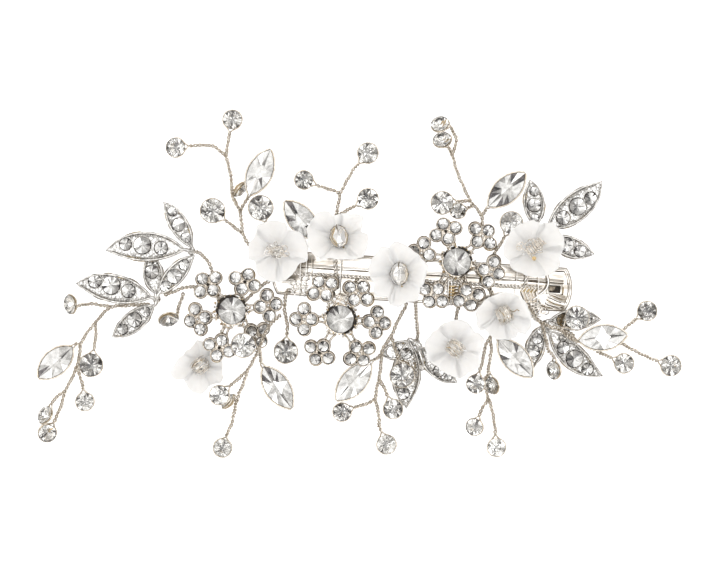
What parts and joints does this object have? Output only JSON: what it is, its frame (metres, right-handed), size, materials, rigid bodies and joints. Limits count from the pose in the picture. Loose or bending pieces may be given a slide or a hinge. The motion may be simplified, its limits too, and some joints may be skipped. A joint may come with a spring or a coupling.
{
  "type": "bridal hair clip",
  "caption": "Floral bridal hair clip: porcelain flowers, rhinestone flowers, cast leaf sprays and cut stones on twisted wire, bound to an arched barrette plate with a clasp bar.",
  "frame": {"origin": "middle of the flat underside of the clasp bar, on the surface the clip lies on", "axes": "+X along the spray towards its right end, +Y towards its upper edge as worn, +Z away from the hair"},
  "size_m": [0.1299, 0.0704, 0.0146],
  "materials": {
    "plate_metal": "polished",
    "cast_metal": "bright silver plate with fine beading",
    "wire": "pale champagne silver, twisted",
    "crystal": "cut and foil backed",
    "porcelain": "matte, unglazed",
    "bead": "cut, with a warm tint"
  },
  "bodies": {
    "root": {"barrette_plate": "plate_metal", "barrette_clasp": "plate_metal", "binding_wire": "wire", "base_wires": "wire", "rhinestone_flower_left": "cast_metal", "rhinestone_flower_middle": "cast_metal", "rhinestone_flower_right": "cast_metal", "petal_stones_left": "crystal", "petal_stones_middle": "crystal", "petal_stones_right": "crystal", "centre_stone_left": "crystal", "centre_stone_middle": "crystal", "centre_stone_right": "crystal", "leaf_spray_left": "cast_metal", "leaf_spray_right_top": "cast_metal", "leaf_spray_right_bottom": "cast_metal", "leaf_spray_bottom": "cast_metal", "leaf_stones_left": "crystal", "leaf_stones_right_top": "crystal", "leaf_stones_right_bottom": "crystal", "leaf_stones_bottom": "crystal", "porcelain_flower_1": "porcelain", "porcelain_flower_2": "porcelain", "porcelain_flower_3": "porcelain", "porcelain_flower_4": "porcelain", "porcelain_flower_5": "porcelain", "porcelain_flower_6": "porcelain", "porcelain_flower_7": "porcelain", "flower_bead_1": "bead", "flower_bead_2": "bead", "flower_bead_3": "bead", "flower_bead_4": "bead", "flower_bead_5": "bead", "flower_bead_6": "bead", "flower_bead_7": "bead", "sprig_top_left": "wire", "sprig_top_middle": "wire", "sprig_top_right": "wire", "sprig_left": "wire", "sprig_bottom_left": "wire", "sprig_bottom_middle": "wire", "sprig_bottom_right": "wire", "sprig_right": "wire", "sprig_stones_top_left": "crystal", "sprig_stones_top_middle": "crystal", "sprig_stones_top_right": "crystal", "sprig_stones_left": "crystal", "sprig_stones_bottom_left": "crystal", "sprig_stones_bottom_middle": "crystal", "sprig_stones_bottom_right": "crystal", "sprig_stones_right": "crystal"}
  },
  "joints": []
}
